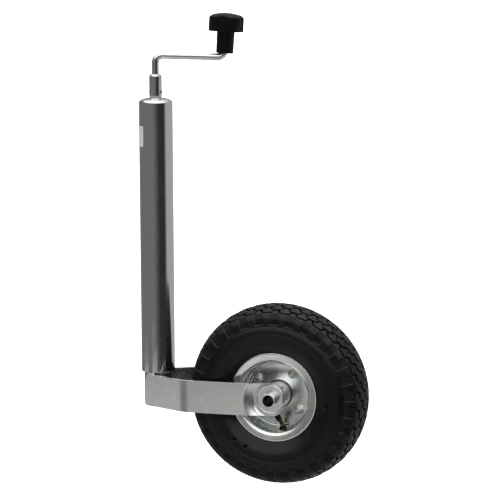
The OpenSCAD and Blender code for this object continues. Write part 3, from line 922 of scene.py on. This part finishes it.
def build_welds():
    """Beads along the upper and lower edges of the arms where they are wrapped round the tube."""
    parts = []
    weld_start = 9
    weld_len = 13
    root = arm_plan()
    along = root[:, 0] + AXLE.x + weld_start
    root = root[(along > 0) & (along < weld_len)]
    root = root + (0, -ARM_T / 2 + 0.3)
    for side in (-1, 1):
        for height, bead_r in ((ARM_H / 2, 1.9), (-ARM_H / 2, 1.6)):
            line = [(x, side * y, height) for x, y in root]
            parts.append(bead(line, bead_r, 7))
    add_skin("weld_beads", join_parts(parts), "fork", "zinc_arm", "fork_welds", matrix=ARM_FRAME)


def build_axle_tube():
    """A tube rolled from strip, open along one narrow slot, with softened ends."""
    edge = 0.5
    gap = math.degrees(AXLE_SLOT / 2 / AXLE_R)
    turns = np.radians(np.linspace(AXLE_SLOT_TURN + gap, AXLE_SLOT_TURN + 360 - gap, 97))
    stations = ((-AXLE_HALF, edge), (edge - AXLE_HALF, 0), (AXLE_HALF - edge, 0), (AXLE_HALF, edge))
    rings = []
    for z, trim in stations:
        outer = [((AXLE_R - trim) * math.cos(t), (AXLE_R - trim) * math.sin(t), z) for t in turns]
        inner_r = AXLE_BORE_R + trim * 0.6
        inner = [(inner_r * math.cos(t), inner_r * math.sin(t), z) for t in turns[::-1]]
        rings.append(outer + inner)
    add_skin("axle_tube_skin", split_ring(rings), "fork", "zinc_bright", "axle_tube", matrix=AXLE_FRAME)
    film_out = AXLE_BORE_R + 0.02
    film_in = film_out - 0.1
    end = AXLE_HALF - 1
    film = revolve([(film_out, -end), (film_out, end), (film_in, end), (film_in, -end)], 96)
    add_skin("axle_bore_oxide", moved(film, AXLE_FRAME), "fork", "spring_steel", None)


# ---------- wheel ----------

def on_wheel(name, part, slot, node, sharp=32, recess_shade=None):
    """A piece of the wheel, from points whose +Z runs along the axle towards the near side."""
    add_skin(name, moved(part, AXLE_FRAME), "wheel", slot, node, sharp, recess_shade=recess_shade)


def build_hub():
    edge = 0.8
    section = rounded([
        (HUB_BORE_R, -HUB_HALF), (HUB_R, -HUB_HALF), (HUB_R, HUB_HALF), (HUB_BORE_R, HUB_HALF)
    ], edge, 4)
    on_wheel("hub_tube_skin", revolve(section, 128), "zinc_rim", "hub_tube")


RIM_HOLE_R = 20


def rim_section():
    """Half of the pressed rim: centre disc, well wall, bead seat and rolled flange."""
    outer = [
        (RIM_HOLE_R, 1.5), (44.5, 1.5), (47.8, 2.3), (50, 4.6), (50.8, 8), (50.8, 23.5), (51, 25.2),
        (52, 26.8), (54, 27.7), (57.3, 28.4), (61.5, 28.9), (62.9, 28.6), (63.2, 30),
        (62.4, 31), (61, 31), (57.4, 30.3), (55, 29.8), (53, 29.1), (51.2, 27.9), (49.8, 26.1),
        (49, 23.6), (48.8, 20), (48.8, 8), (48, 5.6), (46.4, 4.1), (45.2, 4.4), (44, 4.4),
        (43, 3.5), (RIM_HOLE_R, 3.5),
    ]
    radii = [0.3] + [2.5] * 11 + [0.6, 0.7, 1.2] + [2.5] * 8 + [1.5, 0.5, 0.5, 1.0, 0.5]
    radii = (radii + [1.0] * len(outer))[:len(outer)]
    return rounded(outer, radii, 3)


def build_rims():
    half = revolve(rim_section(), 192)
    on_wheel("rim_near_skin", half, "zinc_rim", "rim_near", 40)
    far = moved(half, Matrix.Scale(-1, 4, (0, 0, 1)))
    on_wheel("rim_far_skin", far, "zinc_rim", "rim_far", 40)


def hexagon_r(turns, across):
    """Radius of a hexagon at each angle."""
    return across / 2 / np.cos((turns + math.pi / 6) % (math.pi / 3) - math.pi / 6)


def lathe_stack(levels, cols=72):
    """Rings of (radius or hexagon across flats as a negative number, cap, height)."""
    turns = np.linspace(0, 2 * math.pi, cols, endpoint=False)
    rings = []
    for size, cap, height in levels:
        radius = np.full(cols, size) if size > 0 else np.minimum(hexagon_r(turns, -size), cap)
        rings.append(np.stack([
            radius * np.cos(turns), radius * np.sin(turns), np.full(cols, height)], -1))
    return stacked(rings)


def flange_nut(base):
    """A flanged nut with a round locking collar, standing on base."""
    hexa = 11.0
    corner = hexa / 2 * 1.09
    collar = 5.1
    return lathe_stack([
        (NUT_FLANGE_R, 0, base), (NUT_FLANGE_R, 0, base + 1.1), (NUT_FLANGE_R - 0.5, 0, base + 1.7),
        (-hexa, corner, base + 2.0), (-hexa, corner, base + 3.9), (-hexa, hexa / 2, base + 4.3),
        (collar, 0, base + 4.4), (collar, 0, base + 5.6), (collar - 0.5, 0, base + 6.3),
        (BOLT_R + 0.3, 0, base + 6.5), (BOLT_R + 0.1, 0, base + 6.0),
    ])


def bolt_shank(low, high):
    """A threaded end: ridges of the thread's pitch and a rounded tip."""
    pitch = 1.25
    levels = [(BOLT_R - 0.4, 0, low)]
    z = low
    while z < high - 1.0:
        levels += [(BOLT_R, 0, z + 0.15), (BOLT_R, 0, z + 0.4), (BOLT_R - 0.45, 0, z + 0.85)]
        z += pitch
    levels += [(BOLT_R - 0.2, 0, high - 0.8), (BOLT_R - 0.9, 0, high - 0.2), (BOLT_R - 2, 0, high)]
    return lathe_stack(levels, 40)


def bolt_head(base, height, across):
    """A hexagon head below base, with a washer face and chamfered corners."""
    corner = across / 2 * 1.06
    return lathe_stack([
        (across / 2 * 0.92, 0, base), (-across, 99, base - 0.3), (-across, 99, base - height + 1.0),
        (-across, corner, base - height + 0.4), (-across, across / 2 * 0.93, base - height),
    ][::-1])


def build_fasteners():
    nuts = []
    bolts = []
    for i in range(4):
        place = (
            Matrix.Rotation(math.radians(BOLT_TURN + 90 * i), 4, "Z")
            @ Matrix.Translation((BOLT_PITCH_R, 0, 0))
            @ Matrix.Rotation(math.radians(17 + 23 * i), 4, "Z")
        )
        nuts.append(moved(flange_nut(3.5), place))
        bolts.append(moved(bolt_shank(-3.5, 11.5), place))
        bolts.append(moved(bolt_head(-3.5, 5.3, NUT_ACROSS), place))
    on_wheel("rim_nuts_skin", join_parts(nuts), "zinc_fastener", "rim_nuts", 28)
    on_wheel("rim_bolts_skin", join_parts(bolts), "zinc_fastener", "rim_bolts", 28)


# ---------- tyre ----------

TREAD_ROWS = 4
TREAD_EDGE = 31.6       # along the skin from the crown to the lowest row of scales
TREAD_PHASE = -10.4 / 12
SCALE_RISE = 6.3        # how far a scale's sides climb towards the crown
SIPE_W = 1.2
SIPE_DEPTH = 2.6
LUG_TOP = 33.8
LUG_FOOT = 52.2
LUG_DEPTH = 1.4


def tyre_half():
    """The tyre's outer skin from the crown down to the rim's lip: radius and distance out."""
    return smooth_line([
        (TYRE_R, 0), (TYRE_R - 0.7, 8), (TYRE_R - 2.9, 17), (TYRE_R - 6, 26), (TYRE_R - 9.4, 32.6),
        (114.2, 36.2), (109.4, 37.4), (103.6, 38.3), (99, 39.9), (95, 40.9), (92, TYRE_HALF),
        (86, 40.4), (78, 38.6), (71, 35), (66.5, 31.6), (63.7, 29.7),
    ], 0.75 if FINE else 1.6)


def tread_relief(along, phase):
    """How far the skin lies inside its envelope: along the skin from the crown, phase in pitches."""
    row_gap = TREAD_EDGE / TREAD_ROWS
    cut = np.zeros_like(along)
    for row in range(TREAD_ROWS + 1):
        shift = 0.0 if (TREAD_ROWS - row) % 2 == 0 else 0.5
        local = (phase + shift + 0.5) % 1 - 0.5
        climb = smoothstep(np.abs(local), 0.2, 0.43)
        line = row * row_gap - SCALE_RISE * climb
        steep = 1 + 2.2 * smoothstep(np.abs(local), 0.2, 0.3) * (1 - smoothstep(np.abs(local), 0.36, 0.43))
        away = np.abs(along - line)
        fade = 1 - smoothstep(np.abs(local), 0.45, 0.48)
        groove = (1 - smoothstep(away, SIPE_W * 0.45 * steep, SIPE_W * 0.95 * steep)) * fade
        cut = np.maximum(cut, groove * SIPE_DEPTH)
        edge_of_scale = smoothstep(along, line - 5.5, line - 0.8) * (along < line)
        cut = np.maximum(cut, 0.25 * (1 - edge_of_scale) * (np.abs(local) < 0.3) * (away < 5.5))
    return cut


def lug_relief(along, phase):
    """Shoulder blocks: half of each pitch stands proud, half is recessed and ribbed."""
    local = (phase + 0.5) % 1 - 0.5
    recess = smoothstep(np.abs(local), 0.235, 0.262)
    zone = smoothstep(along, LUG_TOP, LUG_TOP + 1.4) * (1 - smoothstep(along, LUG_FOOT - 2.6, LUG_FOOT))
    ribs = 0.6 * (0.5 + 0.5 * np.cos(2 * math.pi * (local + 0.5) * 10)) * zone
    return recess * zone * (LUG_DEPTH - ribs)


def sidewall_relief(along, radius, turn):
    """Moulded rings round the sidewall and a few small pits."""
    cut = np.zeros_like(along)
    for ring_r, width, depth in ((102.3, 1.1, 1.0), (91.4, 0.9, 0.7), (74.5, 0.6, 0.3), (68.5, 0.6, 0.4)):
        cut += depth * (1 - smoothstep(np.abs(radius - ring_r), width * 0.4, width))
    for pit_turn, pit_r in ((-5.3, 79), (-131.7, 82), (-118.5, 80)):
        across = radius * ((np.degrees(turn) - pit_turn + 180) % 360 - 180) * math.pi / 180
        away = np.hypot(across, radius - pit_r)
        cut += 3 * (1 - smoothstep(away, 1.1, 2.8))
    return cut * (along > LUG_FOOT)


def build_tyre():
    half = tyre_half()
    along_half = line_length(half)
    skin = np.concatenate([half[::-1], half[1:] * (1, -1)])
    along = np.concatenate([along_half[::-1], along_half[1:]])
    slope = np.gradient(skin, axis=0)
    slope /= np.linalg.norm(slope, axis=1)[:, None]
    inwards = np.stack([slope[:, 1], -slope[:, 0]], 1)
    inwards *= np.where((inwards[:, 0] > 0) & (np.abs(skin[:, 1]) < 1), -1, 1)[:, None]
    if inwards[len(half) - 1][0] > 0:
        inwards = -inwards
    cols = TREAD_PITCHES * (34 if FINE else 16)
    turns = np.linspace(0, 2 * math.pi, cols, endpoint=False)
    turn, length = np.meshgrid(turns, along, indexing="ij")
    radius = np.broadcast_to(skin[:, 0], turn.shape)
    out = np.broadcast_to(skin[:, 1], turn.shape)
    phase = turn / (2 * math.pi) * TREAD_PITCHES + TREAD_PHASE
    cut = tread_relief(length, phase) * (length < LUG_TOP)
    cut = np.maximum(cut, lug_relief(length, phase))
    cut = cut + sidewall_relief(length, radius, turn)
    # painted shade: one where the skin is whole, falling towards zero where grooves, lug recesses and pits
    # cut in, so the rubber is drawn darker there
    recess_shade = 1 - np.clip(cut / 2.2, 0, 1)
    radius = radius + inwards[:, 0] * cut
    out = out + inwards[:, 1] * cut
    bead = [
        (63.35, 28.7), (62.95, 28.4), (61.4, 28.75), (57.3, 28.3), (54, 27.6), (52.1, 26.7),
        (51.15, 25.1), (50.9, 23.4), (50.9, 16.8), (52, 17.2), (56.5, 20.5), (64, 24.5),
        (75, 32.6), (88, 35.6), (100, 35), (110, 30.5), (116, 20), (119, 9), (119.7, 0),
    ]
    inside = [(r, -y) for r, y in bead] + [(r, y) for r, y in bead[-2::-1]]
    inner = np.array(inside)
    inner_r = np.broadcast_to(inner[:, 0], (cols, len(inner)))
    inner_out = np.broadcast_to(inner[:, 1], (cols, len(inner)))
    radius = np.concatenate([radius, inner_r], 1)
    out = np.concatenate([out, inner_out], 1)
    # the hidden inner skin is given full painted shade
    recess_shade = np.concatenate([recess_shade, np.zeros_like(inner_r)], 1)
    spin = turns[:, None]
    points = np.stack([radius * np.cos(spin), radius * np.sin(spin), out], -1).reshape(-1, 3)
    faces = grid_faces(cols, radius.shape[1], True, True)
    on_wheel("tyre_skin", (points, faces), "tyre_rubber", "tyre", 60, recess_shade)


def build_hairs():
    """A few moulding hairs left on the tyre's shoulders."""
    parts = []
    places = ((155, 24, 0.4), (98, 30, -0.6), (41, -22, 0.3), (201, -31, 0.5), (318, 12, -0.2))
    for turn, out, lean in places:
        base = Vector((TYRE_R - 2.5 - abs(out) * 0.08, 0, out))
        path = [base + Vector((t * 3.6, lean * t * t * 2, lean * t)) for t in np.linspace(0, 1, 6)]
        hair = sweep([tuple(p) for p in path], np.linspace(0.35, 0.15, 6), 8)
        parts.append(moved(hair, Matrix.Rotation(math.radians(turn), 4, "Z")))
    on_wheel("moulding_hairs", join_parts(parts), "tyre_rubber", None)


# ---------- valve ----------

def build_valve():
    """Bent brass stem in a black rubber collar, with a ribbed black cap."""
    lean = math.radians(VALVE_LEAN)
    bend = 3.2
    stem_len = 18
    tip = Vector((math.sin(lean), 0, math.cos(lean)))
    start = Vector((0, 0, VALVE_ELBOW - bend))
    corner = Vector((0, 0, VALVE_ELBOW))
    end = corner + tip * bend
    path = [Vector((0, 0, z)) for z in np.linspace(-4, start.z, 6)]
    for t in np.linspace(0.1, 1, 9):
        path.append(start * (1 - t) ** 2 + corner * (2 * t * (1 - t)) + end * t ** 2)
    radii = [3.1] * len(path)
    for reach in np.linspace(4, 6, 3):
        path.append(corner + tip * reach)
        radii.append(3.1)
    reach = 6.2
    while reach < stem_len - 0.6:
        for step, size in ((0, 2.35), (0.35, 2.6), (0.6, 2.35)):
            path.append(corner + tip * (reach + step))
            radii.append(size)
        reach += 0.9
    stem = moved(sweep([tuple(p) for p in path], radii, 32), VALVE_FRAME)
    add_skin("valve_stem_skin", stem, "wheel", "valve_brass", "valve_stem")
    collar = lathe_stack([
        (5.4, 0, 1.9), (5.5, 0, 2.6), (5.1, 0, 3.4), (4.8, 0, 4.2), (4.9, 0, 5.4), (4.7, 0, 6.3),
        (4.2, 0, 6.8), (3.25, 0, 6.8), (3.25, 0, 6.0),
    ], 64)
    add_skin("valve_collar_skin", moved(collar, VALVE_FRAME), "wheel", "valve_black", "valve_collar", 40)
    turns = np.linspace(0, 2 * math.pi, 96, endpoint=False)
    ribs = 0.22 * (0.5 + 0.5 * np.cos(turns * 14))
    rings = []
    for radius, height, ribbed in (
        (2.65, 4, 0), (2.65, 0, 0), (3.7, 0, 0), (4.0, 0.4, 0), (4.2, 0.9, 1), (4.2, 7.2, 1),
        (3.95, 8.0, 0.6), (3.5, 8.6, 0), (2.6, 8.95, 0), (1.2, 9, 0),
    ):
        r = radius - ribs * ribbed
        rings.append(np.stack([r * np.cos(turns), r * np.sin(turns), np.full(96, height)], -1))
    place = (
        VALVE_FRAME
        @ Matrix.Translation((0, 0, VALVE_ELBOW))
        @ Matrix.Rotation(lean, 4, "Y")
        @ Matrix.Translation((0, 0, 11))
    )
    cap = moved(stacked(rings), place)
    add_skin("valve_cap_skin", cap, "wheel", "valve_black", "valve_cap", 40)


# ---------- CAD nodes that keep their shape ----------

def finish_cad_nodes():
    """Gives every CAD node that is still shown the finish of its material slot."""
    for subpart in frame["record"]["subparts"]:
        node = frame["nodes"][subpart["node"]]
        node.data.materials.clear()
        node.data.materials.append(LOOKS[subpart["material_slot"]])


# ---------- floor, light and camera ----------

YAW = math.radians(17.9)
PITCH = math.radians(8.2)
ROLL = -0.0035
TARGET = Vector((138.9, 0, -12.4)) * MM
DISTANCE = 2687 * MM
LENS = 138.0

BACK = Vector((math.sin(YAW) * math.cos(PITCH), -math.cos(YAW) * math.cos(PITCH), math.sin(PITCH)))
FRONT_FLAT = Vector((math.sin(YAW), -math.cos(YAW), 0))
RIGHT_FLAT = Vector((math.cos(YAW), math.sin(YAW), 0))


def build_floor():
    """A wide pale floor, just clear of the tyre when the jack is wound right down."""
    size = 60
    joints = {joint["name"]: joint for joint in frame["record"]["behaviour"]["joints"]}
    travel = joints["tube_extend"]["range_m"][1]
    height = CAD_BOX[0].z - travel - MM
    mesh = bpy.data.meshes.new("floor")
    corners = [(-size, -size, height), (size, -size, height), (size, size, height), (-size, size, height)]
    mesh.from_pydata(corners, [], [(0, 1, 2, 3)])
    floor = bpy.data.objects.new("floor", mesh)
    bpy.context.scene.collection.objects.link(floor)
    material = bpy.data.materials.new("floor")
    material.use_nodes = True
    shader = material.node_tree.nodes["Principled BSDF"]
    shader.inputs["Base Color"].default_value = (0.9, 0.9, 0.9, 1)
    shader.inputs["Roughness"].default_value = 0.9
    shader.inputs["Emission Color"].default_value = (1, 1, 1, 1)
    shader.inputs["Emission Strength"].default_value = 0.9
    mesh.materials.append(material)
    floor.visible_glossy = False
    floor.visible_diffuse = False


def build_world():
    """A studio seen only in reflections: plain walls, and a light ceiling and floor."""
    world = bpy.data.worlds.new("studio")
    bpy.context.scene.world = world
    world.use_nodes = True
    nodes = world.node_tree.nodes
    links = world.node_tree.links
    nodes.clear()
    coords = nodes.new("ShaderNodeTexCoord")

    def dot(direction):
        node = nodes.new("ShaderNodeVectorMath")
        node.operation = "DOT_PRODUCT"
        node.inputs[1].default_value = direction
        links.new(coords.outputs["Generated"], node.inputs[0])
        return node.outputs["Value"]

    azimuth = nodes.new("ShaderNodeMath")
    azimuth.operation = "ARCTAN2"
    links.new(dot(RIGHT_FLAT), azimuth.inputs[0])
    links.new(dot(FRONT_FLAT), azimuth.inputs[1])
    turn = nodes.new("ShaderNodeMapRange")
    turn.inputs["From Min"].default_value = -math.pi
    turn.inputs["From Max"].default_value = math.pi
    links.new(azimuth.outputs[0], turn.inputs["Value"])

    def ramp(source, stops):
        node = nodes.new("ShaderNodeValToRGB")
        while len(node.color_ramp.elements) < len(stops):
            node.color_ramp.elements.new(0.5)
        for element, (place, color) in zip(node.color_ramp.elements, stops):
            element.position = place
            element.color = (*color, 1)
        links.new(source, node.inputs["Fac"])
        return node.outputs["Color"]

    walls = ramp(turn.outputs["Result"], [((degrees + 180) / 360, color) for degrees, color in WALLS])
    height = dot((0, 0, 1))

    def mix(source, low, high, first, second):
        share = nodes.new("ShaderNodeMapRange")
        share.interpolation_type = "SMOOTHSTEP"
        share.inputs["From Min"].default_value = low
        share.inputs["From Max"].default_value = high
        links.new(source, share.inputs["Value"])
        node = nodes.new("ShaderNodeMix")
        node.data_type = "RGBA"
        links.new(share.outputs["Result"], node.inputs["Factor"])
        links.new(first, node.inputs[6])
        if isinstance(second, tuple):
            node.inputs[7].default_value = (*second, 1)
        else:
            links.new(second, node.inputs[7])
        return node.outputs[2]

    lift = nodes.new("ShaderNodeMath")
    lift.operation = "MULTIPLY_ADD"
    lift.inputs[1].default_value = 0.3
    links.new(dot(FRONT_FLAT), lift.inputs[0])
    links.new(height, lift.inputs[2])
    sky = mix(lift.outputs[0], 0.38, 0.68, walls, CEILING)
    flip = nodes.new("ShaderNodeMath")
    flip.operation = "MULTIPLY"
    flip.inputs[1].default_value = -1
    links.new(height, flip.inputs[0])
    room = mix(flip.outputs[0], 0.3, 0.6, sky, GROUND)
    studio = nodes.new("ShaderNodeBackground")
    links.new(room, studio.inputs["Color"])
    studio.inputs["Strength"].default_value = 1.0
    paper = nodes.new("ShaderNodeBackground")
    paper.inputs["Color"].default_value = (1, 1, 1, 1)
    path = nodes.new("ShaderNodeLightPath")
    both = nodes.new("ShaderNodeMixShader")
    links.new(path.outputs["Is Camera Ray"], both.inputs["Fac"])
    links.new(studio.outputs[0], both.inputs[1])
    links.new(paper.outputs[0], both.inputs[2])
    out = nodes.new("ShaderNodeOutputWorld")
    links.new(both.outputs[0], out.inputs["Surface"])


BACKDROP = (0.45, 0.45, 0.45)
ROOM = (0.18, 0.18, 0.18)
FLAG = (0.03, 0.03, 0.03)
# a pale backdrop behind and to the right, a grey room to the left, and a black flag beside the camera
WALLS = [
    (-180, BACKDROP), (-130, ROOM), (-20, ROOM), (20, FLAG), (60, FLAG), (75, BACKDROP), (180, BACKDROP),
]
CEILING = (1.6, 1.6, 1.6)
GROUND = (0.55, 0.55, 0.55)


def area_light(name, location, size, watts, color, aim):
    data = bpy.data.lights.new(name, "AREA")
    data.shape = "RECTANGLE"
    data.size = size[0]
    data.size_y = size[1]
    data.energy = watts
    data.color = color
    light = bpy.data.objects.new(name, data)
    bpy.context.scene.collection.objects.link(light)
    light.location = location
    light.rotation_euler = (Vector(aim) - Vector(location)).to_track_quat("-Z", "Y").to_euler()
    return light


def build_lights():
    """A soft panel overhead and two low white cards, which the fork and the wheel reflect."""
    aim = TARGET + Vector((0.05, 0, -0.15))
    panel = area_light("ceiling_panel", (0.3, -0.3, 2.2), (1.8, 1.8), 8, (1, 1, 1), aim)
    panel.visible_glossy = False
    area_light("low_card", (-0.08, -1.33, -0.72), (0.8, 0.54), 0.54, (1, 1, 1), (0.15, -0.05, -0.72))
    area_light("side_card", (-1.11, -0.44, -0.70), (0.7, 0.54), 0.42, (1, 1, 1), (0.02, -0.03, -0.7))


def build_camera():
    data = bpy.data.cameras.new("camera")
    data.lens = LENS
    data.sensor_width = 36
    data.clip_end = 200
    camera = bpy.data.objects.new("camera", data)
    bpy.context.scene.collection.objects.link(camera)
    camera.location = TARGET + BACK * DISTANCE
    turn = (-BACK).to_track_quat("-Z", "Y") @ Quaternion((0, 0, 1), ROLL)
    camera.rotation_mode = "QUATERNION"
    camera.rotation_quaternion = turn
    bpy.context.scene.camera = camera


# ---------- all together ----------

finish_cad_nodes()
build_outer_tube()
build_label()
build_sleeve()
build_roll_pin()
build_rod()
build_knob()
build_inner_tube()
build_arms()
build_welds()
build_axle_tube()
build_hub()
build_rims()
build_fasteners()
build_tyre()
build_hairs()
build_valve()
build_floor()
build_world()
build_lights()
build_camera()

bpy.context.scene.view_settings.view_transform = "Standard"
